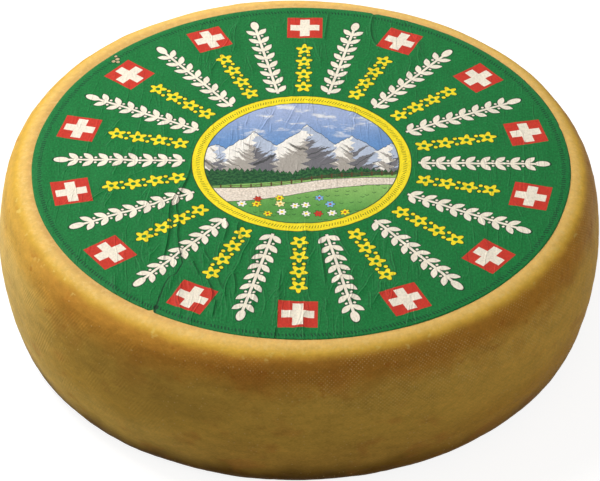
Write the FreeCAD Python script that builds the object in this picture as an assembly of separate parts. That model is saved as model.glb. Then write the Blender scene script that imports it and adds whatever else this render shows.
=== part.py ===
"""A whole wheel of washed-rind mountain cheese with a round paper label on its top face.

Units are millimetres and +Z is up. The origin is the middle of the flat foot that the wheel rests on.
The wheel is one solid. A wheel pressed in a cloth is never quite round, so its outline from above is a
closed chain of tangent arcs whose radii differ a little. One side profile, with a rounded shoulder, a
barrelled side and a rounded foot, is swept round each arc about that arc's own centre, so that the
skin stays smooth from one arc to the next. Two flat faces close it, one to carry the label and one to
stand on.
The label is a disc of paper laid on the top face, slightly off centre. It has one pleat, where the wet
paper was lapped over itself, and one small torn nick near its rim.
"""

import FreeCAD
import Part
import math
import os

# The wheel.
wheel_diameter = 319.0
wheel_height = 88.0
shoulder_radius = 14.0
foot_radius = 15.0
# How far the side leans from upright where it meets each rounding, in degrees. It makes the barrel.
side_lean = 17.0
# Soft lobes that take the wheel out of round: how many go round it, how far each stands out, and the
# direction of one of them in degrees.
lobes = ((2, 0.8, 90.0), (3, 0.5, -9.0), (4, 0.4, -40.0))
# Arcs in the outline. A lobe needs at least six to keep its form.
arcs_around = 24

# The paper label.
label_thickness = 0.25
# Flat rind that a centred label leaves bare inside the shoulder.
label_margin = 1.0
# The label's centre from the wheel's, as it was laid by hand.
label_shift = (1.4, -1.0)

# The pleat runs inwards from the label's rim and narrows to nothing.
pleat_direction = 239.4
pleat_length = 62.0
pleat_width = 2.4
pleat_bend = 5.0
pleat_steps = 6

# The notch that the pleat leaves in the rim, beside the lap.
rim_notch_width = 2.4
rim_notch_depth = 1.6

# The torn nick: a few round bites in a cluster.
nick_direction = 138.0
nick_inset = 3.2
nick_bite_radius = 1.1
nick_bite_count = 3
nick_spread = 1.3

# What follows from the sizes above. An inset is measured inwards from the widest part of the side.
wheel_radius = wheel_diameter / 2.0
lean = math.radians(side_lean)
shoulder_foot_height = wheel_height - shoulder_radius * (1.0 - math.sin(lean))
foot_top_height = foot_radius * (1.0 - math.sin(lean))
side_height = shoulder_foot_height - foot_top_height
side_bulge = side_height / 2.0 * math.tan(lean / 2.0)
side_arc_radius = side_height / (2.0 * math.sin(lean))
top_inset = side_bulge + shoulder_radius * math.cos(lean)
foot_inset = side_bulge + foot_radius * math.cos(lean)
label_radius = wheel_radius - top_inset - label_margin
sector = 360.0 / arcs_around

UP = FreeCAD.Vector(0.0, 0.0, 1.0)


def polar(radius, degrees, height=0.0):
    """The point at that radius and direction from the wheel's axis."""
    angle = math.radians(degrees)
    return FreeCAD.Vector(radius * math.cos(angle), radius * math.sin(angle), height)


def arc_radius(degrees):
    """The outline's radius of curvature in this direction, for a circle with the soft lobes."""
    radius = wheel_radius
    for order, height, direction in lobes:
        wave = math.cos(order * math.radians(degrees - direction))
        radius += height * (1.0 - order**2) * wave
    return radius


def outline_start():
    """The point of the outline whose normal points along +X."""
    outwards = wheel_radius
    sideways = 0.0
    for order, height, direction in lobes:
        phase = -order * math.radians(direction)
        outwards += height * math.cos(phase)
        sideways -= height * order * math.sin(phase)
    return FreeCAD.Vector(outwards, sideways, 0.0)


def outline_arcs():
    """The outline's arcs as (centre, radius, direction where it starts), each tangent to the next."""
    arcs = []
    corner = outline_start()
    for step in range(arcs_around):
        start = step * sector
        radius = arc_radius(start + sector / 2.0)
        centre = corner - polar(radius, start)
        arcs.append((centre, radius, start))
        corner = centre + polar(radius, start + sector)
    return arcs


def curve(centre, radius, degrees, height, inset):
    """One arc of the outline at this height, moved inwards by this inset."""
    turns = (degrees, degrees + sector / 2.0, degrees + sector)
    points = [centre + polar(radius - inset, turn, height) for turn in turns]
    return Part.Arc(*points).toShape()


def flat_face(inset, height):
    """A flat face inside the outline moved inwards by this inset."""
    edges = [curve(centre, radius, start, height, inset) for centre, radius, start in outline_arcs()]
    return Part.Face(Part.Wire(edges))


def side_profile():
    """The side's edge-on profile from top to foot, with x as minus the inset."""
    half_lean = (math.pi / 2.0 + lean) / 2.0
    shoulder_centre = FreeCAD.Vector(-top_inset, 0.0, wheel_height - shoulder_radius)
    shoulder_middle = shoulder_centre + upright(shoulder_radius, half_lean)
    shoulder_end = FreeCAD.Vector(-side_bulge, 0.0, shoulder_foot_height)
    widest = FreeCAD.Vector(0.0, 0.0, (shoulder_foot_height + foot_top_height) / 2.0)
    foot_start = FreeCAD.Vector(-side_bulge, 0.0, foot_top_height)
    foot_centre = FreeCAD.Vector(-foot_inset, 0.0, foot_radius)
    foot_middle = foot_centre + upright(foot_radius, -half_lean)
    top = FreeCAD.Vector(-top_inset, 0.0, wheel_height)
    foot = FreeCAD.Vector(-foot_inset, 0.0, 0.0)
    arcs = [
        Part.Arc(top, shoulder_middle, shoulder_end),
        Part.Arc(shoulder_end, widest, foot_start),
        Part.Arc(foot_start, foot_middle, foot),
    ]
    return Part.Wire([arc.toShape() for arc in arcs])


def upright(radius, angle):
    """The step of this length in the XZ plane, at this angle above +X."""
    return FreeCAD.Vector(radius * math.cos(angle), 0.0, radius * math.sin(angle))


def side_strip(centre, radius, start):
    """The skin over one arc of the outline: the side profile turned about that arc's centre."""
    profile = side_profile()
    profile.rotate(FreeCAD.Vector(), UP, start)
    profile.translate(centre + polar(radius, start))
    return profile.revolve(centre, UP, sector)


def cheese_wheel():
    """The wheel as one closed solid: the skin between two flat faces."""
    faces = [flat_face(top_inset, wheel_height), flat_face(foot_inset, 0.0)]
    for centre, radius, start in outline_arcs():
        faces += side_strip(centre, radius, start).Faces
    shell = Part.makeShell(faces)
    shell.sewShape()
    solid = Part.makeSolid(Part.Shell(shell.Faces))
    if solid.Volume < 0.0:
        solid.reverse()
    return solid


def label_point(radius, degrees, height=0.0):
    """The point at that radius and direction from the label's own centre."""
    return polar(radius, degrees, height) + FreeCAD.Vector(label_shift[0], label_shift[1], 0.0)


def label_blank(thickness):
    """A plain disc of the label's size and this thickness, standing on the wheel's top face."""
    return Part.makeCylinder(label_radius, thickness, label_point(0.0, 0.0, wheel_height))


def pleat_side(side):
    """Points down one side of the pleat from the rim to its tip, on side -1 or +1."""
    points = []
    for step in range(pleat_steps):
        share = step / pleat_steps
        radius = label_radius - pleat_length * share
        half_width = pleat_width / 2.0 * (1.0 - share)
        sideways = pleat_bend * math.sin(math.pi * share) + side * half_width
        turn = pleat_direction + math.degrees(sideways / radius)
        points.append(label_point(radius, turn, wheel_height + label_thickness))
    return points


def pleat():
    """The lap of paper along the pleat, one more thickness high, with a pointed inner end."""
    tip = label_point(label_radius - pleat_length, pleat_direction, wheel_height + label_thickness)
    outline = pleat_side(-1) + [tip] + pleat_side(1)[::-1]
    lap = Part.Face(Part.makePolygon(outline + [outline[0]])).extrude(UP * label_thickness)
    return lap.common(label_blank(2.0 * label_thickness))


def rim_notch():
    """A wedge that takes out the rim beside the pleat, where the two layers no longer meet."""
    width = math.degrees(rim_notch_width / label_radius)
    near = pleat_direction - math.degrees(pleat_width / label_radius) / 2.0
    far = near - width
    outside = label_radius + rim_notch_depth
    corners = [
        label_point(outside, far, wheel_height),
        label_point(outside, near, wheel_height),
        label_point(label_radius - rim_notch_depth, near, wheel_height),
    ]
    wedge = Part.Face(Part.makePolygon(corners + [corners[0]]))
    return wedge.extrude(UP * label_thickness)


def torn_nick():
    """A cluster of round bites through the paper near the rim."""
    bites = []
    for bite in range(nick_bite_count):
        turn = nick_direction + 360.0 * bite / nick_bite_count
        middle = label_point(label_radius - nick_inset, nick_direction, wheel_height)
        middle = middle + polar(nick_spread, turn)
        bites.append(Part.makeCylinder(nick_bite_radius, label_thickness, middle))
    return bites[0].multiFuse(bites[1:])


def paper_label():
    """The label as one solid sheet, with its pleat, rim notch and nick."""
    sheet = label_blank(label_thickness).fuse(pleat())
    sheet = sheet.cut(rim_notch())
    sheet = sheet.cut(torn_nick())
    return sheet.removeSplitter().Solids[0]


def main():
    nodes = {
        "cheese_wheel": cheese_wheel(),
        "paper_label": paper_label(),
    }
    os.makedirs("parts", exist_ok=True)
    for name, solid in nodes.items():
        solid.exportStep("parts/" + name + ".step")
        box = solid.BoundBox
        litres = solid.Volume / 1e6
        print(f"{name}: valid {solid.isValid()}, {litres:.3f} litres")
        print(f"    x {box.XMin:.2f} to {box.XMax:.2f}, y {box.YMin:.2f} to {box.YMax:.2f}")
        print(f"    z {box.ZMin:.2f} to {box.ZMax:.2f}")


main()
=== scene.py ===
# %% [markdown]
# # A wheel of mountain cheese under a printed paper label
#
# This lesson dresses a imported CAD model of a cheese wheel. The model gives the true sizes, and the cells
# below give the looks: an uneven washed rind, and a wet-laid paper label with a printed pattern, wrinkles
# and one pleat. Everything is in metres, in the frame of the CAD model, with +Z up and the wheel standing
# on z = 0. The label faces up and the side seen first faces -Y.

# %% Load the fixed frame
import math
import random
from functools import reduce

import bpy
import numpy as np
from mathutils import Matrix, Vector, noise


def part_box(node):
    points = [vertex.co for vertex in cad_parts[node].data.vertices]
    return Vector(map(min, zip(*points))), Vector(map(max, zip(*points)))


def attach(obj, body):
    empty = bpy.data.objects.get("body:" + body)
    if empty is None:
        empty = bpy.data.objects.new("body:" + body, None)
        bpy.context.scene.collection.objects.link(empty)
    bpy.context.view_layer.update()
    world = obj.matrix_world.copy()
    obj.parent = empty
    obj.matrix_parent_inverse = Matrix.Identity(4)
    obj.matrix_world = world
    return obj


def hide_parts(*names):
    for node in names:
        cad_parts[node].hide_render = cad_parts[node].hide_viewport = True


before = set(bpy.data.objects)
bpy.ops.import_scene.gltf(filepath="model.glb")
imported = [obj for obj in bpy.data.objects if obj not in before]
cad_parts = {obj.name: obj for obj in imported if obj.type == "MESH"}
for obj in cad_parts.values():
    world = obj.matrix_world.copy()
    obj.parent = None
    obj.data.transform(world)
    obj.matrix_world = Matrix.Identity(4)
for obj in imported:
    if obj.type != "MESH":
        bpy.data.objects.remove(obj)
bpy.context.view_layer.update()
wheel_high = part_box("cheese_wheel")[1]
label_low, label_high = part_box("paper_label")
MM = 0.001

# %% [markdown]
# ## Camera
#
# A long lens from well back keeps the wheel's circles close to true ellipses, as in a catalogue picture.
# The camera looks along +Y and down at the label by a little less than 40 degrees. Aiming it by an angle
# and a distance, and not by a typed matrix, keeps the numbers meaningful.

# %% Place the camera
camera_lens = 164.06
camera_elevation = 39.52
camera_distance = 1.4577
camera_target = Vector((0.8 * MM, -1.0 * MM, 34.4 * MM))


def new_object(name, data):
    """An object of the scene with this data."""
    thing = bpy.data.objects.new(name, data)
    bpy.context.scene.collection.objects.link(thing)
    return thing


def aimed(name, data, azimuth, elevation, distance):
    """A camera or lamp aimed at the wheel. Azimuth 0 is in front, 90 to the right, both in degrees."""
    turn, rise = math.radians(azimuth), math.radians(elevation)
    towards = Vector((math.sin(turn) * math.cos(rise), -math.cos(turn) * math.cos(rise), math.sin(rise)))
    thing = new_object(name, data)
    thing.location = camera_target + distance * towards
    thing.rotation_mode = "QUATERNION"
    thing.rotation_quaternion = (-towards).to_track_quat("-Z", "Y")
    return thing


camera_data = bpy.data.cameras.new("Camera")
camera_data.lens = camera_lens
camera_data.sensor_width = 36.0
camera = aimed("Camera", camera_data, 0.0, camera_elevation, camera_distance)
bpy.context.scene.camera = camera
print("camera stands at", [round(v, 3) for v in camera.location])

# %% [markdown]
# ## Light
#
# The wheel is lit as food is in a light tent. One wide soft lamp stands above and a little behind it to
# the left and rakes over the paper's wrinkles. A low one further left brightens that flank, a weak one in
# front to the right keeps the shaded side open, and a dim even surround fills the rest. The strengths are
# set so that a plain white surface facing up renders just under white, so every colour comes out about
# as it is written. For a lamp that faces the wheel, that takes pi squared watts for each square metre of
# distance squared.

# %% Light the wheel
bpy.context.scene.view_settings.view_transform = "Standard"


def soft_lamp(name, azimuth, elevation, distance, size, level):
    """A square lamp that lights a sheet facing it to this level, where 1 is white."""
    data = bpy.data.lights.new(name, "AREA")
    data.shape = "SQUARE"
    data.size = size
    data.energy = level * math.pi**2 * distance**2
    return aimed(name, data, azimuth, elevation, distance)


soft_lamp("key_lamp", azimuth=-122.0, elevation=55.0, distance=1.15, size=0.55, level=0.79)
soft_lamp("side_lamp", azimuth=-98.0, elevation=20.0, distance=1.6, size=0.8, level=0.22)
soft_lamp("fill_lamp", azimuth=40.0, elevation=32.0, distance=2.4, size=1.2, level=0.13)
surround_level = 0.20

# %% [markdown]
# ## Shader sums
#
# Patterns such as a printed border are easiest to write as sums on coordinates. This small class wraps
# one socket of a node tree and overloads the operators, so that `1 - mask` adds a Math node. Every other
# node comes from `add`, which sets the node's settings first and then the values or links of its sockets.


# %% Wrap a socket so that it can be reckoned with
class Shade:
    """One output socket of a node tree, usable in sums."""

    def __init__(self, tree, socket):
        self.tree = tree
        self.socket = socket

    def add(self, kind, inputs, output=0, **settings):
        """A new node: its settings first, then its sockets by name or place. Returns one of its outputs."""
        node = self.tree.nodes.new(kind)
        for name, value in settings.items():
            setattr(node, name, value)
        for place, value in inputs.items():
            if isinstance(value, Shade):
                self.tree.links.new(value.socket, node.inputs[place])
            else:
                node.inputs[place].default_value = value
        return Shade(self.tree, node.outputs[output] if node.outputs else None)

    def math(self, operation, *values):
        """A Math node whose first value is this one."""
        return self.add("ShaderNodeMath", dict(enumerate((self, *values))), operation=operation)

    def __add__(self, other):
        return self.math("ADD", other)

    def __sub__(self, other):
        return self.math("SUBTRACT", other)

    def __mul__(self, other):
        return self.math("MULTIPLY", other)

    def __truediv__(self, other):
        return self.math("DIVIDE", other)

    __radd__, __rmul__ = __add__, __mul__

    def __rsub__(self, other):
        return self.math("MULTIPLY_ADD", -1.0, other)

    def __abs__(self):
        return self.math("ABSOLUTE")

    def smooth(self, low, high):
        """0 below low and 1 above high, with a soft step between. Swapped ends turn it over."""
        flip = low > high
        inputs = {"Value": self, "From Min": min(low, high), "From Max": max(low, high)}
        inputs.update({"To Min": float(flip), "To Max": 1.0 - flip})
        return self.add("ShaderNodeMapRange", inputs, interpolation_type="SMOOTHSTEP")

    def least(self, other):
        return self.math("MINIMUM", other)

    def most(self, other):
        return self.math("MAXIMUM", other)

    def repeat(self, pitch):
        """Signed distance from the middle of the nearest cell, for cells of this pitch."""
        return self.math("WRAP", pitch / 2.0, -pitch / 2.0)

    def tint(self, mask, colour):
        """This colour, turned to another one where the mask is 1."""
        return blend(mask, self, colour)

    def layered(self, layers):
        """This colour under a list of layers, each a mask and the colour it brings."""
        return reduce(lambda below, layer: below.tint(*layer), layers, self)


def blend(mask, first, second):
    """A colour that goes from the first to the second as the mask goes from 0 to 1."""
    inputs = {0: mask, 6: linear(first), 7: linear(second)}
    return mask.add("ShaderNodeMix", inputs, output=2, data_type="RGBA")


def linear(colour):
    """A colour in the 0 to 255 values of a colour picker, as a socket wants it. A Shade stays as it is."""
    if isinstance(colour, Shade):
        return colour
    shares = [value / 255.0 for value in colour]
    return (*[v / 12.92 if v <= 0.04045 else ((v + 0.055) / 1.055) ** 2.4 for v in shares], 1.0)


def new_material(name):
    """An empty material, and a Shade on its object coordinates to start from."""
    material = bpy.data.materials.new(name)
    material.use_nodes = True
    material.node_tree.nodes.clear()
    start = Shade(material.node_tree, None)
    return material, start.add("ShaderNodeTexCoord", {}, output="Object")


def length_of(u, v):
    """Length of the hypotenuse over two sides."""
    return (u * u + v * v).math("SQRT")


def split(vector):
    """The three parts of a vector as Shades."""
    node = vector.tree.nodes.new("ShaderNodeSeparateXYZ")
    vector.tree.links.new(vector.socket, node.inputs[0])
    return [Shade(vector.tree, socket) for socket in node.outputs]


def surface(start, inputs):
    """Adds the main shader with these sockets and joins it to the material's output."""
    start.add("ShaderNodeOutputMaterial", {"Surface": start.add("ShaderNodeBsdfPrincipled", inputs)})


print("a test colour, picker 188 in linear:", round(linear((188, 188, 188))[0], 3))

# %% [markdown]
# ## Floor and surround
#
# The floor is a plain pale sheet. A catalogue picture shows it as white, and more light would burn out
# the cheese, so white is added only where the camera or a reflection looks: Light Path tells those rays
# from the ones that carry light between surfaces. Part of what such a ray sees is still the lit sheet, so
# the wheel's soft shadow stays. The surround does the same beyond the floor's edge.


# %% Make the floor and the surround
def seen_directly(start):
    """1 for rays from the camera and for those that a reflection or clear thing sends on."""
    rays = ("Is Camera Ray", "Is Glossy Ray", "Is Transmission Ray")
    return reduce(Shade.most, [start.add("ShaderNodeLightPath", {}, output=ray) for ray in rays])


floor_reach = 6.0
corners = [(x * floor_reach, y * floor_reach, 0.0) for x, y in ((-1, -1), (1, -1), (1, 1), (-1, 1))]
floor_mesh = bpy.data.meshes.new("floor")
floor_mesh.from_pydata(corners, [], [(0, 1, 2, 3)])
floor = new_object("floor", floor_mesh)

floor_material, start = new_material("pale_sheet")
lit = start.add("ShaderNodeBsdfDiffuse", {"Color": (0.36, 0.35, 0.33, 1.0)})
glow = start.add("ShaderNodeEmission", {"Color": (1.0, 1.0, 1.0, 1.0), "Strength": 0.86})
shown = start.add("ShaderNodeAddShader", {0: lit, 1: glow})
floor_look = start.add("ShaderNodeMixShader", {0: seen_directly(start), 1: lit, 2: shown})
start.add("ShaderNodeOutputMaterial", {"Surface": floor_look})
floor_mesh.materials.append(floor_material)

world = bpy.data.worlds.new("surround")
world.use_nodes = True
world.node_tree.nodes.clear()
bpy.context.scene.world = world
start = Shade(world.node_tree, None)
dim = start.add("ShaderNodeBackground", {"Color": (1.0, 1.0, 1.0, 1.0), "Strength": surround_level})
white = start.add("ShaderNodeBackground", {"Color": (1.0, 1.0, 1.0, 1.0), "Strength": 1.0})
surround = start.add("ShaderNodeMixShader", {0: seen_directly(start), 1: dim, 2: white})
start.add("ShaderNodeOutputWorld", {"Surface": surround})
print("floor reaches", floor_reach, "m, surround level", surround_level)

# %% [markdown]
# ## The rind's shape
#
# The side of a pressed wheel bulges, its edges are rounded by the mould and the cloth, and no two
# stretches are quite alike. The profile is three tangent arcs between the two flats, as in the CAD model
# but with a slightly tighter foot, walked in equal steps. Turning it round the axis gives a closed skin of
# even cells, which takes relief well. A subdivision surface could give the same form, but then the cell
# size would follow the form and not the detail.

# %% Trace the wheel's profile
wheel_height = wheel_high.z
wheel_radius = 159.5 * MM
shoulder_radius = 14.0 * MM
foot_radius = 12.5 * MM
side_lean = math.radians(17.0)
rind_cell = 1.2 * MM
lobes = ((2, 0.8 * MM, 90.0), (3, 0.5 * MM, -9.0), (4, 0.4 * MM, -40.0))

shoulder_foot_height = wheel_height - shoulder_radius * (1.0 - math.sin(side_lean))
foot_top_height = foot_radius * (1.0 - math.sin(side_lean))
side_height = shoulder_foot_height - foot_top_height
side_bulge = side_height / 2.0 * math.tan(side_lean / 2.0)
side_arc_radius = side_height / (2.0 * math.sin(side_lean))
top_flat_radius = wheel_radius - side_bulge - shoulder_radius * math.cos(side_lean)
foot_flat_radius = wheel_radius - side_bulge - foot_radius * math.cos(side_lean)


def arc_points(centre, radius, start, end):
    """Points (distance from axis, height, slope of the normal) along an arc, without the last one."""
    count = max(1, round(abs(end - start) * radius / rind_cell))
    angles = [start + (end - start) * step / count for step in range(count)]
    return [(centre[0] + radius * math.cos(a), centre[1] + radius * math.sin(a), a) for a in angles]


upright = math.pi / 2.0
shoulder_centre = (top_flat_radius, wheel_height - shoulder_radius)
side_centre = (wheel_radius - side_arc_radius, (shoulder_foot_height + foot_top_height) / 2.0)
foot_centre = (foot_flat_radius, foot_radius)
top_rings = [top_flat_radius * share for share in (0.01, 0.3, 0.6, 0.85, 0.96, 0.985)]
foot_rings = [foot_flat_radius * share / 12.0 for share in range(12, 0, -1)]
profile = [(ring, wheel_height, upright) for ring in top_rings]
profile += arc_points(shoulder_centre, shoulder_radius, upright, side_lean)
profile += arc_points(side_centre, side_arc_radius, side_lean, -side_lean)
profile += arc_points(foot_centre, foot_radius, -side_lean, -upright)
profile += [(ring, 0.0, -upright) for ring in foot_rings]
columns = 840
print("profile points:", len(profile), "columns:", columns)

# %% [markdown]
# The relief is worked out at each point from its place on the real wheel: a slow swell from the cloth's
# folds, a finer unevenness from washing and turning, and scattered shallow pits. Blender's own noise
# functions give the same values on every run. On the foot the relief only goes inwards, so that the wheel
# still stands flat, and under the label it is nearly level.

# %% Shape the uneven rind
swell_height = 0.55 * MM
swell_size = 42.0 * MM
dimple_height = 0.16 * MM
dimple_size = 9.0 * MM
pit_depth = 0.35 * MM
pit_size = 13.0 * MM
flat_share = 0.25
top_sink = 0.12 * MM


def relief(spot, slope):
    """How far the rind stands proud of its smooth form at this place."""
    swell = noise.fractal(spot / swell_size, 1.0, 2.0, 2)
    stretched = Vector((spot.x, spot.y, spot.z * 2.0))
    dimple = noise.fractal(stretched / dimple_size, 0.9, 2.1, 3)
    spacing = noise.voronoi(spot / pit_size)[0][0]
    pit = max(0.0, 1.0 - spacing / 0.17) ** 2
    total = swell_height * swell + dimple_height * dimple - pit_depth * pit
    levelness = abs(math.sin(slope)) ** 6
    if slope < 0.0:
        total -= levelness * (total + abs(total)) / 2.0
    return total * (1.0 - levelness * (1.0 - flat_share)) - (levelness * top_sink if slope > 0.0 else 0.0)


def lobe_offset(angle):
    """How far the wheel's outline stands out of a true circle in this direction."""
    return sum(height * math.cos(order * (angle - math.radians(way))) for order, height, way in lobes)


rind_points = []
for distance, height, slope in profile:
    for column in range(columns):
        angle = 2.0 * math.pi * column / columns
        outwards = distance + lobe_offset(angle) * distance / wheel_radius
        spot = Vector((outwards * math.cos(angle), outwards * math.sin(angle), height))
        proud = relief(spot, slope)
        outwards += proud * math.cos(slope)
        spot = (outwards * math.cos(angle), outwards * math.sin(angle), height + proud * math.sin(slope))
        rind_points.append(spot)
print("rind points:", len(rind_points))

# %% [markdown]
# The bake of the finished looks needs a flat map of the skin. One strip round the whole wheel would be
# ten times as long as it is high and waste the picture, so the side is cut into three strips laid one
# above another, and the two flats take the corners that are left.

# %% Join the rind into one closed mesh with its map
strips = 3
strip_width = 0.76
strip_height = 0.25
disc_map_radius = 0.115
disc_map_places = {"top": (0.12, 0.88), "foot": (0.88, 0.12)}
foot_start = len(profile) - len(foot_rings)
top_end = len(top_rings)


def map_place(row, column, zone):
    """Where a point of the skin lies on the map, as seen from the zone that its face is in."""
    if zone in disc_map_places:
        angle = 2.0 * math.pi * column / columns
        reach = disc_map_radius * profile[row][0] / foot_flat_radius
        middle = disc_map_places[zone]
        return (middle[0] + reach * math.cos(angle), middle[1] + reach * math.sin(angle))
    along = (column - zone * columns / strips) / (columns / strips)
    up = (row - top_end) / (foot_start - top_end)
    return (0.01 + along * strip_width, 0.01 + (zone + 0.98 * up) * strip_height)


faces = []
face_map = []


def add_face(corners, zone):
    """A face of the skin in one zone of the map. Each corner is a row and a column of the points."""
    faces.append(tuple(row * columns + column % columns for row, column in corners))
    face_map.append([map_place(row, column, zone) for row, column in corners])


for row in range(len(profile) - 1):
    for column in range(columns):
        zone = "top" if row < top_end else "foot" if row >= foot_start else column * strips // columns
        add_face(((row, column), (row + 1, column), (row + 1, column + 1), (row, column + 1)), zone)
add_face([(0, column) for column in range(columns)], "top")
add_face([(len(profile) - 1, column) for column in reversed(range(columns))], "foot")


def make_piece(name, points, faces, face_map):
    """A smooth mesh object, placed by its points, with a map for the bake."""
    mesh = bpy.data.meshes.new(name)
    mesh.from_pydata(points, [], faces)
    mesh.polygons.foreach_set("use_smooth", [True] * len(mesh.polygons))
    chart = mesh.uv_layers.new(name="OFBake")
    chart.data.foreach_set("uv", [v for face in face_map for place in face for v in place])
    mesh.update()
    return new_object(name, mesh)


def note_at_points(piece, name, kind, values):
    """Gives each point of the piece a number or a vector that its finish can read."""
    attribute = piece.data.attributes.new(name, kind, "POINT")
    key = "value" if kind == "FLOAT" else "vector"
    attribute.data.foreach_set(key, values.astype(np.float32).ravel())


def finish_piece(piece, material, node):
    """Gives the piece its material, hangs it under the root body and hides the CAD node that it replaces."""
    piece.data.materials.append(material)
    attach(piece, "root")
    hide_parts(node)
    print(piece.name, "finished with", len(material.node_tree.nodes), "nodes")


rind = make_piece("cheese_rind", rind_points, faces, face_map)
print("rind faces:", len(faces))

# %% [markdown]
# ## The rind's finish
#
# A washed rind is golden where it is dry and freshly brushed, and darker and redder where the wash
# collects. Its colour therefore depends on how far down the profile a place lies, so each point of the
# mesh carries that distance as an attribute. Noise makes the bands uneven. The band at the foot is the
# rind's own brown darkened by painted shade, where the wheel meets the floor. The pressing cloth leaves
# its weave: fine pale dots on one side, slanting ridges on the other, in patches that fade in and out,
# and a row of stitches under the shoulder. Each of them repeats a whole number of times round the wheel,
# so that no seam shows.

# %% Give each point its distance down the profile
walked = [0.0]
for before, after in zip(profile, profile[1:]):
    walked.append(walked[-1] + math.hypot(after[0] - before[0], after[1] - before[1]))
edge_of_flat = walked[top_end]
down_values = np.repeat(np.array(walked) - edge_of_flat, columns) / MM
note_at_points(rind, "down", "FLOAT", down_values)
print("profile runs", round(down_values.min(), 1), "to", round(down_values.max(), 1), "mm")

# %% Helpers for noise and mixing


def noise_at(place, size, detail=3.0, roughness=0.55, squash=None):
    """Cloudy noise from 0 to 1 with features of about this size, finer along the axes that squash scales."""
    if squash:
        place = place.add("ShaderNodeVectorMath", {0: place, 1: squash}, operation="MULTIPLY")
    inputs = {"Vector": place, "Scale": 1.0 / size, "Detail": detail, "Roughness": roughness}
    return place.add("ShaderNodeTexNoise", inputs)


def brighten(colour, amount):
    """The colour with its light scaled by a number that may vary."""
    return amount.add("ShaderNodeVectorMath", {0: colour, "Scale": amount}, operation="SCALE")


def cells_at(place, size, randomness=1.0, output="Distance", dimensions="3D"):
    """Scattered cells of this size: the distance to the nearest middle, its place, or a chance colour."""
    inputs = {"Vector": place, "Scale": 1.0 / size, "Randomness": randomness}
    return place.add("ShaderNodeTexVoronoi", inputs, output=output, voronoi_dimensions=dimensions)


def read(start, name, output):
    """What the points of the mesh remember under this name."""
    return start.add("ShaderNodeAttribute", {}, output=output, attribute_name=name)


def bump(height, depth, strength):
    """A normal that follows this height, with the depth in metres of a height of 1."""
    return height.add("ShaderNodeBump", {"Height": height, "Distance": depth, "Strength": strength})


print("helpers ready")

# %% Colour the rind
rind_material, place = new_material("washed_rind")
x, y, z = [part / MM for part in split(place)]
down = read(place, "down", "Fac")
around = y.math("ARCTAN2", x)


def cloud(size, detail=3.0, roughness=0.55, flatter=None):
    """Noise on the rind with features of this many mm, and so many times flatter than they are long."""
    return noise_at(place, size * MM, detail, roughness, flatter and (1.0, 1.0, flatter))


wander = (cloud(30.0, 2.0) - 0.5) * 16.0
level = down + wander * down.smooth(14.0, 30.0)
brushed_edge = down + (cloud(12.0) - 0.5) * 4.0 + x.smooth(-30.0, -90.0)

# Towards the left the wheel is paler, and palest at the far left edge: painted light where the lamps rake
# across that flank. On the right it is redder.
painted_light_left = x.smooth(-20.0, -90.0)
painted_light_far_left = x.smooth(-110.0, -160.0)
redder = x.smooth(40.0, 130.0)


def flank_tone(middle, pale, palest_end, red):
    """A band's tone in front, on the paler flank, at that flank's far end and on the redder flank."""
    return blend(painted_light_left, middle, pale).tint(painted_light_far_left, palest_end).tint(redder, red)


brushed_tone = blend(down.smooth(3.0, 9.0), (247, 201, 112), (244, 195, 76))
washed_tone = flank_tone((196, 136, 52), (206, 147, 58), (222, 177, 78), (208, 146, 56))
belly_tone = blend(redder, (212, 168, 74), (231, 182, 82)).tint(painted_light_far_left, (230, 193, 108))
low_tone = flank_tone((207, 161, 72), (228, 187, 91), (232, 198, 112), (214, 161, 66))
# Painted shade: the foot band is darkened where the wheel meets the floor, most on the left.
foot_tone_and_shade = blend(x.smooth(0.0, 90.0), (102, 70, 14), (146, 102, 28))
# A pale band high on the right edge of the side, where it turns away from view, is a painted sheen.
painted_sheen_right_edge = x.smooth(138.0, 158.0) * down.smooth(6.0, 12.0) * down.smooth(36.0, 20.0)

blotch = cloud(24.0, 4.0, 0.6).smooth(0.48, 0.66)
red_zone = level.smooth(10.0, 20.0) * level.smooth(46.0, 30.0)
low_pink = cloud(19.0, flatter=1.6).smooth(0.54, 0.68)
colour = blend(brushed_edge.smooth(6.4, 13.0), brushed_tone, washed_tone).layered((
    (level.smooth(18.0, 34.0), belly_tone),
    (level.smooth(56.0, 72.0), low_tone),
    (level.smooth(74.0, 90.0), foot_tone_and_shade),
    (painted_sheen_right_edge * 0.35, (222, 186, 130)),
    (down.smooth(3.2, -0.4) * 0.75, (228, 178, 106)),
    (blotch * red_zone * (0.35 - 0.25 * painted_light_far_left), (178, 108, 42)),
    (low_pink * level.smooth(34.0, 56.0) * 0.35, (194, 124, 58)),
))

streaks = cloud(18.0, 4.0, flatter=2.2)
mottle = cloud(4.5, 4.0, 0.6, 1.8)
side_share = level.smooth(8.0, 20.0)
fine_mottle = cloud(1.3, 3.0, 0.7, 1.5)
shade = 1.0 + (streaks - 0.5) * (0.55 - x.smooth(20.0, 90.0) * 0.2) * side_share + (mottle - 0.5) * 0.40
shade = shade + (fine_mottle - 0.5) * (0.30 + 0.25 * side_share) * (1.0 - 0.35 * painted_light_left)
# A patch on the left of the side is painted darker, and so is the shoulder further round: painted shade.
painted_shade_left_side = length_of((x + 78.0) / 62.0, (down - 38.0) / 24.0).smooth(1.0, 0.2) * y.smooth(0.0, -40.0)
painted_shade_left_shoulder = x.smooth(-45.0, -115.0) * down.smooth(13.0, 9.0)
colour = brighten(colour, shade * (1.0 - 0.2 * painted_shade_left_side) * (1.0 - 0.13 * painted_shade_left_shoulder))

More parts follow.
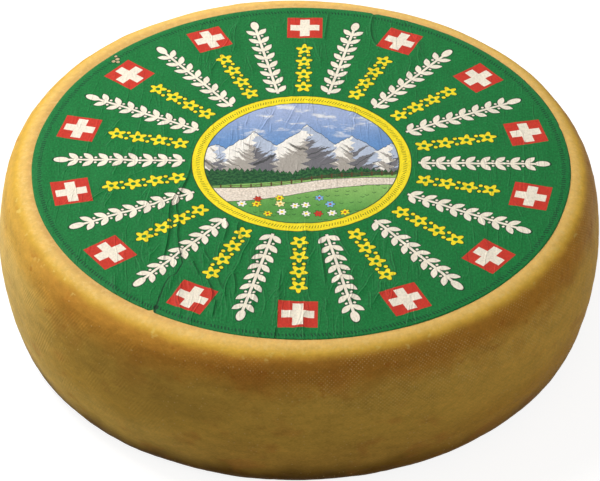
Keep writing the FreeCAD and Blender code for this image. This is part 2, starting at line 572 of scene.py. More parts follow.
moist = cloud(6.0, flatter=1.5).smooth(0.60, 0.70)
moist = moist * down.smooth(5.0, 8.0) * down.smooth(14.0, 11.0)
flecks = cloud(2.4, 3.0, 0.6).smooth(0.50, 0.66) * down.smooth(9.0, 5.0)
stain = cloud(7.0, 2.0, flatter=1.3).smooth(0.62, 0.72)
stain = stain * down.smooth(7.0, 13.0) * level.smooth(40.0, 24.0)
colour = colour.layered((
    (moist * 0.45, (240, 216, 124)),
    (flecks * 0.26, (252, 220, 146)),
    (stain * 0.45, (184, 108, 34)),
))
print("bands, blotches, streaks, moist patches and stains take", len(rind_material.node_tree.nodes), "nodes")

# %% Print the cloth into the rind
rim_length = 2.0 * math.pi * wheel_radius / MM
dot_pitch = 2.1
stitch_pitch = 5.6
ridge_pitch = 1.8
bend = (cloud(40.0, 1.0) - 0.5) * 9.0


def turns_round(pitch):
    """An angle that runs through a whole number of turns round the wheel, one for each pitch."""
    return around * round(rim_length / pitch)


across = turns_round(dot_pitch) + bend * 0.9
downwards = (down + bend * 0.4) * (2.0 * math.pi / dot_pitch)
lattice = ((across + downwards).math("COSINE") + (across - downwards).math("COSINE")) * 0.5
dot_kind = cloud(3.2, 1.0).smooth(0.32, 0.68)
dot_patch = 0.12 + 0.88 * cloud(22.0, 2.0).smooth(0.38, 0.56)
dots = lattice.smooth(0.30, 0.95) * (0.25 + 0.75 * dot_kind) * dot_patch * x.smooth(-100.0, 40.0)
dots = dots * down.smooth(8.0, 12.0) * (down - x.smooth(-40.0, 60.0) * 24.0).smooth(30.0, 12.0)

# The stitches keep to one line, 17.5 mm down the profile, on the front of the wheel.
stitches = turns_round(stitch_pitch).math("COSINE").smooth(0.93, 0.99)
stitches = stitches * abs(down - 17.5 - bend * 0.5).smooth(0.55, 0.15) * y.smooth(0.0, -40.0)
stitches = stitches * cloud(14.0, 1.0).smooth(0.24, 0.44) * abs(x - 10.0).smooth(95.0, 60.0)

slanted = turns_round(ridge_pitch) + (down * 0.55 + bend * 0.5) * (2.0 * math.pi / ridge_pitch)
ridge_patch = cloud(15.0).smooth(0.46, 0.60) * x.smooth(-20.0, -80.0)
ridges = slanted.math("COSINE") * ridge_patch * down.smooth(14.0, 22.0) * down.smooth(80.0, 64.0)

colour = colour.tint(dots * 0.6, (236, 204, 132)).tint(stitches * 0.7, (236, 198, 130))
# The ridges also lighten and darken the colour across each ridge: painted light and shade on the cloth's
# relief.
lattice_light = side_share * (0.015 + x.smooth(0.0, 60.0) * 0.02)
colour = brighten(colour, 1.0 + ridges * 0.036 + lattice * lattice_light)
print("dots round the wheel:", round(rim_length / dot_pitch), "ridges:", round(rim_length / ridge_pitch))

# %% Scatter pale specks and finish the rind
speck_kind = split(cells_at(place, 5.0 * MM, output="Color"))[0]
specks = cells_at(place, 5.0 * MM).smooth(0.11, 0.03) * speck_kind.smooth(0.15, 0.17)
specks = specks * down.smooth(11.0, 15.0) * level.smooth(60.0, 40.0)
fine_specks = cells_at(place, 2.6 * MM).smooth(0.22, 0.08) * down.smooth(12.0, 20.0)
fine_specks = fine_specks * cloud(20.0, 2.0).smooth(0.45, 0.60)
colour = colour.tint(specks * 0.65, (232, 200, 130)).tint(fine_specks * 0.45, (230, 198, 130))

roughness = 0.50 + (mottle - 0.5) * 0.25 + side_share * 0.08 - moist * 0.16
grain = cloud(2.6, 4.0, 0.6, 1.4)
bumps = grain * 0.5 + streaks * 0.9 + mottle * 0.6 + dots * 0.35 + ridges * 0.12 + specks * 0.5
normal = bump(bumps, depth=0.45 * MM, strength=0.6)
surface(place, {"Base Color": colour, "Roughness": roughness, "Normal": normal, "Specular IOR Level": 0.03})
finish_piece(rind, rind_material, "cheese_wheel")

# %% [markdown]
# ## The label's paper
#
# The label is thin paper laid wet on the young cheese. As it dries it wrinkles, mostly in one
# direction, and where too much paper met near the edge it was lapped into a pleat. A cloth simulation
# could crumple a sheet, but not place its folds. Here the sheet is an even grid on a disc, made by
# squeezing a square ring by ring, and each wrinkle is a soft ridge along a drawn line.

# %% Lay out the sheet as an even grid
label_radius = (label_high.x - label_low.x) / 2.0
label_centre = (label_low + label_high) / 2.0
paper_cells = 300


def disc_grid(cells):
    """Places on a disc of radius 1, from a square grid squeezed ring by ring."""
    steps = np.linspace(-1.0, 1.0, cells + 1)
    across, along = np.meshgrid(steps, steps)
    wide = np.abs(across) > np.abs(along)
    reach = np.where(wide, across, along)
    other = np.where(wide, along, across)
    ratio = np.divide(other, reach, out=np.zeros_like(reach), where=reach != 0.0)
    turn = np.where(wide, ratio * math.pi / 4.0, math.pi / 2.0 - ratio * math.pi / 4.0)
    return reach * np.cos(turn), reach * np.sin(turn)


sheet_x, sheet_y = (unit * label_radius / MM for unit in disc_grid(paper_cells))
print("label radius in mm:", round(label_radius / MM, 2), "points:", sheet_x.size)

# %% [markdown]
# Lines are lists of points in millimetres from the label's centre. For each line, `along_line` finds
# how far every point of the grid is from it, on which side it lies, and how far along the line its
# nearest place is. A ridge is then a bell shape across the line that fades at both ends, with a shallow
# hollow beside it where the paper was pulled in. A sharp fold is finer than the grid's cells, so its
# points only remember how far they are from it, and the bump of the paper's finish draws its crest.

# %% Measure from a drawn line
def along_line(path, across, along):
    """Distance, signed by side, and progress from 0 to 1, of each place from a line of points."""
    best = np.full(across.shape, 1e9)
    side = np.zeros(across.shape)
    progress = np.zeros(across.shape)
    lengths = [math.dist(a, b) for a, b in zip(path, path[1:])]
    start = 0.0
    for (ax, ay), (bx, by), length in zip(path, path[1:], lengths):
        dx, dy = (bx - ax) / length, (by - ay) / length
        share = np.clip((across - ax) * dx + (along - ay) * dy, 0.0, length)
        gap_x, gap_y = across - ax - share * dx, along - ay - share * dy
        gap = np.hypot(gap_x, gap_y)
        closer = gap < best
        best = np.where(closer, gap, best)
        side = np.where(closer, np.sign(dx * gap_y - dy * gap_x), side)
        progress = np.where(closer, (start + share) / sum(lengths), progress)
        start += length
    return best * side, progress


def near_line(path, margin):
    """Which points of the sheet are near the line, with their distance and progress."""
    xs, ys = [p[0] for p in path], [p[1] for p in path]
    near = (sheet_x > min(xs) - margin) & (sheet_x < max(xs) + margin)
    near &= (sheet_y > min(ys) - margin) & (sheet_y < max(ys) + margin)
    return near, *along_line(path, sheet_x[near], sheet_y[near])


def rounded(path, rounds=2):
    """The same line with its corners cut a few times over, so that it bends softly."""
    for _ in range(rounds):
        cut = [path[0]]
        for (ax, ay), (bx, by) in zip(path, path[1:]):
            cut.append((0.75 * ax + 0.25 * bx, 0.75 * ay + 0.25 * by))
            cut.append((0.25 * ax + 0.75 * bx, 0.25 * ay + 0.75 * by))
        path = cut + [path[-1]]
    return path


paper_height = np.zeros_like(sheet_x)
crease_nearest = np.full(sheet_x.shape, 9.0)
crease_strength = np.zeros_like(sheet_x)


def add_ridge(path, height, width, hollow=0.4, fade=0.3):
    """Raises a soft ridge of this height and half width, in mm, along the line."""
    near, gap, progress = near_line(path, 6.0 * width)
    ends = np.clip(progress / fade, 0.0, 1.0) * np.clip((1.0 - progress) / fade, 0.0, 1.0)
    ends = ends * ends * (3.0 - 2.0 * ends)
    ridge = np.exp(-0.5 * (gap / width) ** 2)
    dip = np.exp(-0.5 * ((gap - 2.2 * width) / (1.5 * width)) ** 2)
    paper_height[near] += height * ends * (ridge - hollow * dip)


def add_crease(path, strength, fade=0.22):
    """Notes at each point near the line how far it is from it, and how sharp the fold is there."""
    near, gap, progress = near_line(path, 5.0)
    ends = np.clip(np.minimum(progress, 1.0 - progress) / fade, 0.0, 1.0)
    closer = (np.abs(gap) < np.abs(crease_nearest[near])) & (ends > 0.0) & (np.abs(gap) < 4.0)
    crease_nearest[near] = np.where(closer, gap, crease_nearest[near])
    crease_strength[near] = np.where(closer, strength * ends, crease_strength[near])


print("a corner cut twice has", len(rounded([(0, 0), (1, 0), (1, 1)])), "points")

# %% Draw the creases and wrinkles
pleat_line = [(-71.5, -121), (-71, -117), (-67.5, -100), (-65.5, -94.5), (-62, -92), (-59, -83)]
pleat_line += [(-60.5, -74), (-63, -62)]
creases = (
    # path, sharpness of the fold
    ([(-57.5, 3), (-58, -12), (-64, -31), (-64, -42), (-62, -48), (-63, -62), (-59, -84)], 0.85),
    ([(-58.5, -12), (-65.5, -29), (-68, -41), (-66.5, -59), (-69.5, -84)], 0.85),
    ([(-57, -76), (-52, -88), (-51, -93)], 0.7),
    ([(-51.5, -69), (-45, -82)], 0.5),
    ([(-47, -94), (-43.5, -106), (-44.5, -112)], 0.8),
    ([(-42, -93), (-37.5, -109)], 0.6),
    ([(-42, -110), (-43.5, -124)], 0.75),
    ([(-34.5, -88), (-32.5, -97), (-33, -108)], 0.6),
    ([(-32, -50), (-33, -58), (-30, -64)], 0.6),
    ([(-38.5, -47), (-37.5, -56), (-39.5, -66)], 0.6),
    ([(-10, -88), (-11.5, -104), (-11, -113)], 0.8),
    ([(-12.5, -130), (-13.5, -141)], 0.8),
    ([(-22, -132), (-20, -141)], 0.5),
    ([(41, 136), (38, 122), (39, 106), (45, 99)], 0.6),
    ([(15, 134), (12.5, 108)], 0.5),
    ([(8.5, -58), (12, -101)], 0.6),
)
draw = random.Random(11)
wrinkle_fields = (
    # how many, x from and to, y from and to, slant in degrees, its spread, length, sharpness
    (54, -92.0, 60.0, -128.0, -58.0, 4.0, 11.0, 22.0, 0.42),
    (24, -60.0, 70.0, 62.0, 126.0, -2.0, 10.0, 20.0, 0.34),
    (14, -104.0, -66.0, -40.0, 30.0, 14.0, 12.0, 18.0, 0.32),
    (12, -36.0, 36.0, 0.0, 44.0, 18.0, 10.0, 16.0, 0.30),
    (16, 60.0, 118.0, -70.0, 60.0, -6.0, 14.0, 18.0, 0.22),
    (10, -120.0, -70.0, -80.0, 60.0, 10.0, 20.0, 20.0, 0.26),
)
for count, x_from, x_to, y_from, y_to, slant, spread, length, height in wrinkle_fields:
    for _ in range(count):
        middle_x, middle_y = draw.uniform(x_from, x_to), draw.uniform(y_from, y_to)
        lean = math.radians(90.0 - draw.gauss(slant, spread))
        long = length * draw.uniform(0.5, 1.7)
        path = []
        for step in range(5):
            off = (step / 4.0 - 0.5) * long
            sway = draw.uniform(-0.05, 0.05) * long
            step_x = middle_x + off * math.cos(lean) - sway * math.sin(lean)
            path.append((step_x, middle_y + off * math.sin(lean) + sway * math.cos(lean)))
        sharpness = height * draw.uniform(0.5, 1.4)
        add_ridge(rounded(path), 0.9 * sharpness, draw.uniform(0.9, 1.6))
        add_crease(rounded(path), sharpness)
for path, strength in creases:
    add_ridge(rounded(path), 0.6 * strength, 1.1)
    add_crease(rounded(path), strength, 0.12)
print("creases:", len(creases), "wrinkles:", sum(field[0] for field in wrinkle_fields))

# %% [markdown]
# The whole sheet also cockles a little, as damp paper does. At the pleat one side of the paper lies
# over the other: it stands highest at the lap's edge and sinks back within a finger's width. The print
# belongs to the flat sheet, so the paper that the lap swallows is missing from the pattern. To get
# that, every point remembers its place on the flat sheet, which is shifted towards the lap.

# %% Lap the pleat and cockle the sheet
pleat_swallow = 2.2
pleat_rise = 0.55
lap_gap, lap_progress = along_line(rounded(pleat_line, 1), sheet_x, sheet_y)
lap_strength = np.clip((1.0 - lap_progress) / 0.75, 0.0, 1.0) * (np.abs(lap_gap) < 60.0)
over = lap_gap < 0.0
paper_height += np.where(over, pleat_rise * lap_strength * np.exp(lap_gap / 4.5), 0.0)
paper_height -= np.where(over, 0.0, 0.12 * lap_strength * np.exp(-lap_gap / 2.0))
flat_shift = np.where(over, -1.0, 1.0) * 0.5 * pleat_swallow * lap_strength * np.exp(-np.abs(lap_gap) / 16.0)

cockle_height = 0.45
for index in np.ndindex(sheet_x.shape):
    spot = Vector((sheet_x[index] / 13.0, sheet_y[index] / 30.0, 5.0))
    ripple = Vector((sheet_x[index] / 3.6 + sheet_y[index] / 30.0, sheet_y[index] / 17.0, 9.0))
    paper_height[index] += cockle_height * noise.noise(spot) + 0.16 * noise.noise(ripple)
reach = np.hypot(sheet_x, sheet_y)
# Near its edge the paper is held down, and the very edge curls under a little.
from_edge = label_radius / MM - reach
held_down = np.clip(from_edge / 5.0, 0.15, 1.0)
paper_height = np.maximum(paper_height * held_down, -0.12) - 0.2 * np.clip(1.0 - from_edge / 2.5, 0.0, 1.0)
print("paper stands", round(paper_height.min(), 2), "to", round(paper_height.max(), 2), "mm off its bed")

# %% [markdown]
# The edge isn't perfect either. Where the pleat reaches it, the sheet leaves a narrow notch that shows
# the rind, and there are two shallow nicks further round. The grid's outer rings are pulled in there.

# %% Nick the edge
edge_angle = np.arctan2(sheet_y, sheet_x)
edge_pull = np.zeros_like(sheet_x)
nicks = ((-121.5, 0.8, 1.6), (73.0, 1.0, 1.0), (12.0, 2.0, 0.4))
for nick_angle, nick_width, nick_depth in nicks:
    off = (edge_angle - math.radians(nick_angle)) * label_radius / MM
    edge_pull += nick_depth * np.exp(-((off / nick_width) ** 2))
edge_pull += 0.25 * np.sin(edge_angle * 9.0 + 1.0) * np.sin(edge_angle * 5.0)
outer = np.clip((reach / (label_radius / MM) - 0.94) / 0.06, 0.0, 1.0) ** 2
pulled = 1.0 - np.maximum(edge_pull, 0.0) * outer / np.maximum(reach, 1.0)
placed_x, placed_y = sheet_x * pulled, sheet_y * pulled
print("deepest nick in mm:", round(float(edge_pull.max()), 2))

# %% Join the label into one closed mesh
sheet_thickness = 0.25
underside_depth = 0.5
rows = paper_cells + 1
top_heights = label_low.z / MM + sheet_thickness + paper_height
number = np.arange(rows * rows).reshape(rows, rows)
quads = np.stack((number[:-1, :-1], number[:-1, 1:], number[1:, 1:], number[1:, :-1]), axis=-1)
faces = [tuple(quad) for quad in quads.reshape(-1, 4).tolist()]
border = [int(n) for n in (*number[0, :-1], *number[:-1, -1], *number[-1, :0:-1], *number[:0:-1, 0])]
first_bottom = rows * rows
for place_in_border, upper in enumerate(border):
    following = (place_in_border + 1) % len(border)
    faces.append((upper, first_bottom + place_in_border, first_bottom + following, border[following]))
faces.append(tuple(first_bottom + n for n in reversed(range(len(border)))))


def for_points(*parts):
    """Three values for each point of the sheet, and then again for its border on the underside."""
    values = np.stack(parts, axis=-1).reshape(-1, 3)
    return np.concatenate((values, values[border]))


paper_points = for_points(placed_x + label_centre.x / MM, placed_y + label_centre.y / MM, top_heights)
paper_points[first_bottom:, 2] = label_low.z / MM - underside_depth
paper_points *= MM
chart = paper_points[:, :2] - np.array([label_centre.x, label_centre.y])
chart = 0.5 + chart / (2.04 * label_radius)
face_map = [[tuple(chart[point]) for point in face] for face in faces[:-1]]
face_map.append([(0.001 + 0.01 * chart[p][0], 0.001 + 0.01 * chart[p][1]) for p in faces[-1]])
label = make_piece("label_sheet", paper_points.tolist(), faces, face_map)
flat_places = for_points(sheet_x + flat_shift, sheet_y, np.zeros_like(sheet_x))
note_at_points(label, "flat_sheet", "FLOAT_VECTOR", flat_places)
crease_places = for_points(crease_nearest, np.abs(crease_nearest), crease_strength)
note_at_points(label, "creases", "FLOAT_VECTOR", crease_places)
print("label faces:", len(faces))

# %% [markdown]
# ## The print
#
# The print repeats fourteen times round the label: a small square national flag with a chain of yellow
# blossoms below it, and between every two of these a white leafy sprig. In the middle, a yellow ring
# frames a small alpine view. It could be painted as a picture, but sums on the sheet's own coordinates
# stay sharp at any size and need no file. Folding the angle into one sector draws all fourteen at once.
# Each motif is a distance that is negative inside it, so that a thin dark outline is only a wider cut
# of the same distance.

# %% Fold the sheet into sectors
label_material, place = new_material("printed_paper")
sheet = read(place, "flat_sheet", "Vector")
print_off_centre = (0.2, -0.8)
sheet_u, sheet_v, _ = split(sheet)
sheet_u, sheet_v = sheet_u - print_off_centre[0], sheet_v - print_off_centre[1]
radius = length_of(sheet_u, sheet_v)
turn = sheet_v.math("ARCTAN2", sheet_u)
repeats = 14
sector = 2.0 * math.pi / repeats
first_flag = math.radians(89.1)


def folded(offset):
    """Sideways and outward millimetres in the nearest sector, for sectors turned by this angle."""
    angle = (turn - offset).repeat(sector)
    return radius * angle.math("SINE"), radius * angle.math("COSINE")


flag_side, flag_out = folded(first_flag)
sprig_side, sprig_out = folded(first_flag + sector / 2.0)
print("sector in degrees:", round(math.degrees(sector), 2))

# %% Inks and edges
green_ink = (24, 116, 56)
dark_ink_and_shadow = (14, 62, 34)
white_ink = (249, 238, 217)
yellow_ink = (252, 228, 45)
red_ink = (206, 60, 45)
soft_edge = 0.13


def inside(distance, grow=0.0):
    """1 where a distance is negative, with a soft edge and grown outwards by some millimetres."""
    return distance.smooth(grow + soft_edge, grow - soft_edge)


def between(value, low, high):
    """1 between two limits, with soft edges."""
    return value.smooth(low - soft_edge, low + soft_edge) * value.smooth(high + soft_edge, high - soft_edge)


def trimmed(shape, value, low, high):
    """The shape without what lies outside two limits."""
    return shape.most(low - value).most(value - high)


print("soft edges are", 2 * soft_edge, "mm wide")

# %% Draw the flag
flag_radius = 120.8
flag_half = 9.75
arm_reach = 8.0
arm_half = 2.65
flag_u = abs(flag_side)
flag_v = abs(flag_out - flag_radius)
flag_shape = flag_u.most(flag_v) - flag_half
bar_across = (flag_u - arm_reach).most(flag_v - arm_half)
bar_upright = (flag_u - arm_half).most(flag_v - arm_reach)
cross_shape = bar_across.least(bar_upright)
print("flag", 2 * flag_half, "mm square")

# %% Draw the leafy sprig
sprig_from, sprig_to = 60.8, 123.0
leaf_pitch = 7.75
leaf_half_length = 3.7
leaf_half_width = 1.7
leaf_lean = math.radians(44.0)
sprig_u = abs(sprig_side)
leaf_v = (sprig_out - sprig_from - leaf_pitch / 2.0).repeat(leaf_pitch)
leaf_along = (sprig_u - 3.0) * math.sin(leaf_lean) + leaf_v * math.cos(leaf_lean)
leaf_across = (sprig_u - 3.0) * math.cos(leaf_lean) - leaf_v * math.sin(leaf_lean)
taper = 1.0 - (leaf_along * leaf_along) * (1.0 / leaf_half_length**2)
leaf_shape = abs(leaf_across) - taper * leaf_half_width
berry_v = (sprig_out - sprig_from).repeat(leaf_pitch)
berry_shape = trimmed(length_of(sprig_u - 2.1, berry_v) - 0.75, sprig_out, 64.0, 119.0)
stem_shape = sprig_u - 0.75
sprig_shape = leaf_shape.least(berry_shape).least(stem_shape)
sprig_shape = trimmed(sprig_shape, sprig_out, sprig_from, sprig_to)
bud_v = (sprig_out - 125.2) * 0.55
bud_shape = length_of(sprig_side, bud_v) - 2.2
sprig_shape = sprig_shape.least(bud_shape)
print("leaf pairs on a sprig:", round((sprig_to - sprig_from) / leaf_pitch))

# %% Draw the chain of blossoms
chain_from, chain_to = 59.8, 105.9
blossoms = 4
blossom_pitch = (chain_to - chain_from) / blossoms
blossom_v = (flag_out - chain_from - blossom_pitch / 2.0).repeat(blossom_pitch)
blossom_reach = length_of(flag_side, blossom_v)
blossom_turn = flag_side.math("ARCTAN2", blossom_v)
petals = (blossom_turn * 5.0).math("COSINE")
blossom_shape = blossom_reach - (petals * 1.15 + 3.65)
eye_shape = blossom_reach - 1.2
bead_v = (flag_out - chain_from).repeat(blossom_pitch)
bead_shape = length_of(abs(flag_side) - 2.4, bead_v) - 1.05
bead_shape = trimmed(bead_shape, flag_out, chain_from + 3.0, chain_to - 3.0)
chain_shape = trimmed(blossom_shape.least(bead_shape), flag_out, chain_from, chain_to)
print("blossom pitch in mm:", round(blossom_pitch, 2))

# %% Draw the two fine rope borders
ring_inner, ring_outer = 50.9, 57.0


def rope(middle_radius, pitch, slant, height, stroke):
    """Short slanting strokes round a circle, in groups with a gap after each."""
    strokes_round = round(2.0 * math.pi * middle_radius / pitch)
    strokes_round -= strokes_round % 7
    true_pitch = 2.0 * math.pi * middle_radius / strokes_round
    travel = turn * middle_radius
    up = radius - middle_radius
    dash = abs((travel + up * slant).repeat(true_pitch)) - stroke / 2.0
    dash = dash.most(abs(up) - height / 2.0)
    group = travel.repeat(true_pitch * 7.0)
    gap = abs(group) - true_pitch * 0.62
    return dash.most(0.0 - gap).least(length_of(group, up) - 0.45)


inner_rope = rope(middle_radius=54.0, pitch=1.45, slant=0.35, height=2.0, stroke=0.5)
outer_rope = rope(middle_radius=136.2, pitch=1.75, slant=-0.3, height=2.1, stroke=0.75)
print("rope borders drawn")

# %% [markdown]
# ## The view in the middle
#
# A mountain cheese's label shows the place it comes from, or one like it. This view is made up: snowy
# peaks under a summer sky, a wood at their feet, a fenced track and a meadow in flower. It is drawn the
# way such labels are, in flat colours with ink lines. Each layer is a height that varies along the
# view, and what lies below that height is painted over what is behind it.

# %% Draw the peaks
def noise_along(value, size, detail=2.0, roughness=0.5):
    """Noise from 0 to 1 along a single number."""
    inputs = {"W": value, "Scale": 1.0 / size, "Detail": detail, "Roughness": roughness}
    return value.add("ShaderNodeTexNoise", inputs, noise_dimensions="1D")


peaks = (
    # place along the view, height, steepness
    (-25.0, 25.0, 0.95),
    (3.0, 31.0, 1.10),
    (26.0, 22.0, 0.85),
    (-45.0, 15.0, 0.7),
    (47.0, 15.0, 0.8),
)


def ridge_height(along):
    """Height of the skyline: the highest of the straight-sided peaks, roughened."""
    sides = [top - abs(along - middle) * steepness for middle, top, steepness in peaks]
    return reduce(Shade.most, sides) + (noise_along(along, 7.0, 3.0, 0.6) - 0.5) * 7.0


zigzag = (noise_along(sheet_v + 40.0, 5.0, 2.0) - 0.5) * 14.0
skyline = ridge_height(sheet_u)
shaded = ridge_height(sheet_u + zigzag - 1.5) - ridge_height(sheet_u + zigzag + 1.5)
shaded = shaded.smooth(-0.4, 0.8)
below_skyline = skyline - sheet_v
gully = noise_along(sheet_u + below_skyline * 0.55 * (shaded * 2.0 - 1.0), 2.6, 3.0, 0.6)
rock = (below_skyline * 0.035 + (gully - 0.5) * 1.5).smooth(0.36, 0.46)
print("peaks:", len(peaks))

# %% Draw the wood, the track and the meadow
fir_pitch = 3.1
firs = 1.0 - abs(sheet_u.repeat(fir_pitch)) * (2.0 / fir_pitch)
small_firs = 1.0 - abs((sheet_u + 1.2).repeat(fir_pitch * 0.73)) * (2.0 / (fir_pitch * 0.73))
wood_top = (noise_along(sheet_u, 20.0, 1.0) - 0.5) * 10.0 - 9.0 + (firs * 3.2).most(small_firs * 2.4)
wood_foot = sheet_u * 0.10 - 15.5

track_line = sheet_u * 0.13 - 22.0 + (sheet_u * (1.0 / 14.0)).math("SINE") * 1.6
track_off = sheet_v - track_line
track = abs(track_off) - (4.2 - sheet_u * 0.035)
post_off = sheet_u.repeat(5.2)
posts = abs(post_off).most(abs(track_off - 6.4) * 0.22) - 0.42
rails = abs(track_off - 6.0).least(abs(track_off - 7.3)) - 0.22
fence = posts.least(rails)
print("fence posts every 5.2 mm")

# %% Scatter tufts and flowers
def from_middles(size, randomness):
    """Sideways and upward mm from the nearest middle of scattered cells, and that middle's place."""
    middle = cells_at(sheet, size, randomness, "Position", "2D")
    off = sheet.add("ShaderNodeVectorMath", {0: sheet, 1: middle}, operation="SUBTRACT")
    return *split(off)[:2], middle


tuft_u, tuft_v, _ = from_middles(5.5, 0.85)
tufts = (abs(tuft_v - abs(tuft_u) * 0.7) - 0.28).most(abs(tuft_u) - 1.1)

flower_size = 6.4
flower_u, flower_v, flower_middle = from_middles(flower_size, 0.55)
kind_a, kind_b, kind_c = split(cells_at(sheet, flower_size, 0.55, "Color", "2D"))
flower_turn = flower_u.math("ARCTAN2", flower_v) + kind_c * 6.0
flower_reach = length_of(flower_u, flower_v)
flower_shape = flower_reach - ((flower_turn * 6.0).math("COSINE") * 0.5 + 1.75 + kind_b * 0.5)
flower_eye = flower_reach - 0.75
middle_u, middle_v, _ = split(flower_middle)
flower_field = kind_a.smooth(0.44, 0.46) * (middle_v + kind_b * 9.0).smooth(-27.0, -27.2)
flower_field = flower_field * length_of(middle_u, middle_v).smooth(48.4, 48.2)
print("flowers in cells of", flower_size, "mm")

# %% Paint the view, from the back to the front
ink_line = (40, 44, 40)
cloud_noise = noise_at(sheet, 15.0, 4.0, 0.6, (1.0, 2.2, 1.0))
clouds = cloud_noise.smooth(0.52, 0.64) * sheet_v.smooth(14.0, 30.0)
sky = blend(sheet_v.smooth(12.0, 48.0), (104, 146, 198), (170, 184, 218))
sky = sky.tint(clouds * 0.85, (240, 238, 236))

snow = blend(shaded, (250, 244, 234), (186, 196, 214))
stone = blend(shaded, (176, 168, 158), (116, 114, 118))
cracks = abs(gully - 0.62).smooth(0.03, 0.01) * below_skyline.smooth(2.0, 8.0)
mountain = snow.tint(rock, stone).tint(cracks * 0.7, ink_line)

fir_noise = noise_at(sheet, 1.6, 2.0).smooth(0.35, 0.65)
wood = blend(fir_noise, (22, 66, 40), (52, 104, 58))
grass = blend((sheet_v + sheet_u * 0.1).smooth(-14.0, -42.0), (146, 192, 106), (92, 156, 74))
grass = brighten(grass, 0.86 + 0.28 * noise_at(sheet, 6.0, 3.0))
grass = grass.tint(inside(tufts) * 0.75, (40, 84, 44))
gravel = blend(noise_at(sheet, 1.2, 2.0).smooth(0.4, 0.62), (246, 232, 216), (222, 206, 186))

petal_colour = blend(kind_c.smooth(0.30, 0.32), (250, 246, 236), yellow_ink)
petal_colour = petal_colour.tint(kind_c.smooth(0.56, 0.58), red_ink)
petal_colour = petal_colour.tint(kind_c.smooth(0.80, 0.82), (140, 190, 232))
eye_colour = blend(kind_c.smooth(0.30, 0.32), yellow_ink, (190, 70, 40))

view = sky.layered((
    (inside(sheet_v - skyline, 0.35), ink_line),
    (inside(sheet_v - skyline) * inside(sheet_v - skyline + 0.1), mountain),
    (inside(sheet_v - wood_top, 0.25), (14, 44, 30)),
    (inside(sheet_v - wood_top), wood),
    (inside(sheet_v - wood_foot), grass),
    (inside(fence) * inside(sheet_v - wood_foot, 8.0), (92, 66, 44)),
    (inside(track, 0.35), ink_line),
    (inside(track), gravel),
    (inside(flower_shape, 0.32) * flower_field, ink_line),
    (inside(flower_shape) * flower_field, petal_colour),
    (inside(flower_eye) * flower_field, eye_colour),
))
print("view painted in", len(label_material.node_tree.nodes), "nodes so far")

# %% Lay the inks over one another
fibres = noise_at(sheet, 1.0, 3.0, 0.7, (1.0, 0.6, 1.0))
print_colour = brighten(blend(inside(outer_rope), green_ink, (20, 70, 42)), 0.50 + 1.0 * fibres)
print_colour = print_colour.layered((
    (inside(sprig_shape, 0.5), dark_ink_and_shadow),
    (inside(sprig_shape), white_ink),
    (inside(chain_shape, 0.5), dark_ink_and_shadow),
    (inside(chain_shape), yellow_ink),
    (inside(eye_shape, 0.1) * inside(blossom_shape) * inside(chain_shape), green_ink),
    (inside(flag_shape), red_ink),
    (inside(cross_shape), white_ink),
    (inside(radius - ring_outer, 0.45), dark_ink_and_shadow),
    (between(radius, ring_inner, ring_outer), yellow_ink),
    (inside(inner_rope) * 0.75, (96, 92, 30)),
    (inside(radius - ring_inner), (40, 60, 44)),
    (inside(radius - ring_inner, -0.5), view),
))
print("inks laid in", len(label_material.node_tree.nodes), "nodes so far")

# %% [markdown]
# Paper shows its fibres through the ink, as a fine unevenness. Each sharp crease gets a painted highlight
# along its crest and painted shade at its foot. At the pleat a narrow painted shadow lies under the lapped
# edge. In the torn places at the far edge the paper's pale core is bare, ringed by painted shadow. These
# need distances from drawn lines again, this time as shader sums.

# %% Wear the paper, and paint light and shade at its folds, pleat and tears


def gap_to_line(path, u, v):
    """Distance in mm from a line of points, as a shader sum."""
    gaps = []
    for (ax, ay), (bx, by) in zip(path, path[1:]):
        length = math.dist((ax, ay), (bx, by))
        dx, dy = (bx - ax) / length, (by - ay) / length
        share = ((u - ax) * dx + (v - ay) * dy).most(0.0).least(length)
        gaps.append(length_of(u - ax - share * dx, v - ay - share * dy))
    return reduce(Shade.least, gaps)


place_x, place_y, _ = split(place)
here_u = place_x / MM - label_centre.x / MM
here_v = place_y / MM - label_centre.y / MM
pleat_ends = {"From Min": -121.0, "From Max": -64.0, "To Min": 0.42, "To Max": 0.22}
pleat_width = here_v.add("ShaderNodeMapRange", {"Value": here_v, **pleat_ends})
pleat_gap = gap_to_line(pleat_line, here_u, here_v)
# A painted shadow runs along the pleat's lapped edge and darkens a spot at its foot by the rim.
pleat_painted_shadow = (pleat_gap - pleat_width).smooth(0.35, -0.25) * here_v.smooth(-62.0, -74.0)
pleat_foot_painted_shadow = length_of(here_u + 71.0, (here_v + 116.5) * 0.6).smooth(1.5, 0.8)

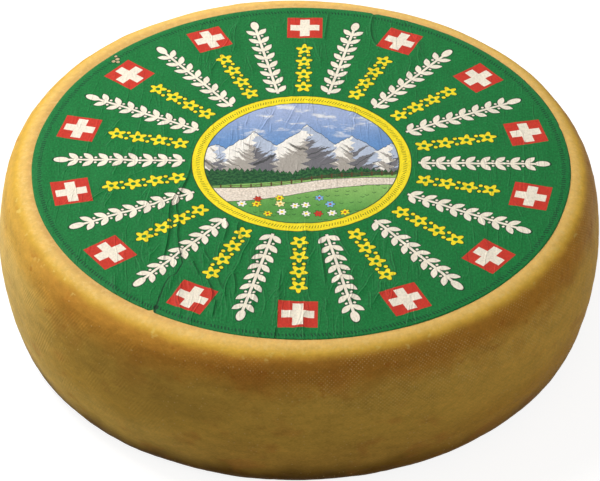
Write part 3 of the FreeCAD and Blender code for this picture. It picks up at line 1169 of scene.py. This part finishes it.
clouding = noise_at(sheet, 9.0, 3.0, 0.6, (1.0, 0.5, 1.0))
print_colour = brighten(print_colour, 0.52 + 0.70 * fibres + 0.26 * clouding)
print_colour = print_colour.tint(pleat_painted_shadow.most(pleat_foot_painted_shadow) * 0.92, (8, 42, 22))
fold_gap, fold_off, fold_share = split(read(place, "creases", "Vector"))
folds = abs(fold_gap).smooth(0.75, 0.0) * fold_off.smooth(1.9, 1.2) * fold_share
painted_fold_shade = (abs(fold_gap - 0.95) - 0.1).smooth(0.55, 0.0) * fold_off.smooth(2.4, 1.6) * fold_share
painted_crest_highlight = abs(fold_gap).smooth(0.45, 0.0) * fold_off.smooth(1.4, 0.8) * fold_share
print_colour = brighten(print_colour, 1.0 - painted_fold_shade * 0.5 + painted_crest_highlight * 0.45)

torn_places = ((-101.5, 94, 0.9), (-100.5, 91, 1.1), (-100, 88.5, 1.0), (-102.5, 89, 1.1))
tears = [length_of(sheet_u - tear_u, sheet_v - tear_v) - size for tear_u, tear_v, size in torn_places]
tear = reduce(Shade.least, tears) + (noise_at(sheet, 1.6, 2.0) - 0.5) * 1.2
torn = inside(tear)
# A painted shadow in the dark ink's colour rings each torn place, round its bare pale core.
print_colour = print_colour.tint(inside(tear, 0.5) * 0.7, dark_ink_and_shadow).tint(torn, (206, 180, 140))
print("torn places:", len(torn_places))

# %% Finish the label
roughness = 0.46 + 0.16 * (fibres - 0.5) + torn * 0.25
crease_noise = noise_at(sheet, 8.5, 2.0, 0.55, (1.0, 0.13, 1.0)) - 0.5
fine_creases = abs(crease_noise).smooth(0.030, 0.0) * noise_at(sheet, 34.0, 2.0).smooth(0.44, 0.60)
bumps = fibres * 0.12 + clouding * 0.1 + fine_creases * 0.2 + folds * 0.75 - torn * 0.3 - pleat_painted_shadow * 0.25
normal = bump(bumps, depth=1.0 * MM, strength=1.0)
looks = {"Base Color": print_colour, "Roughness": roughness, "Normal": normal, "Specular IOR Level": 0.10}
surface(place, looks)
finish_piece(label, label_material, "paper_label")
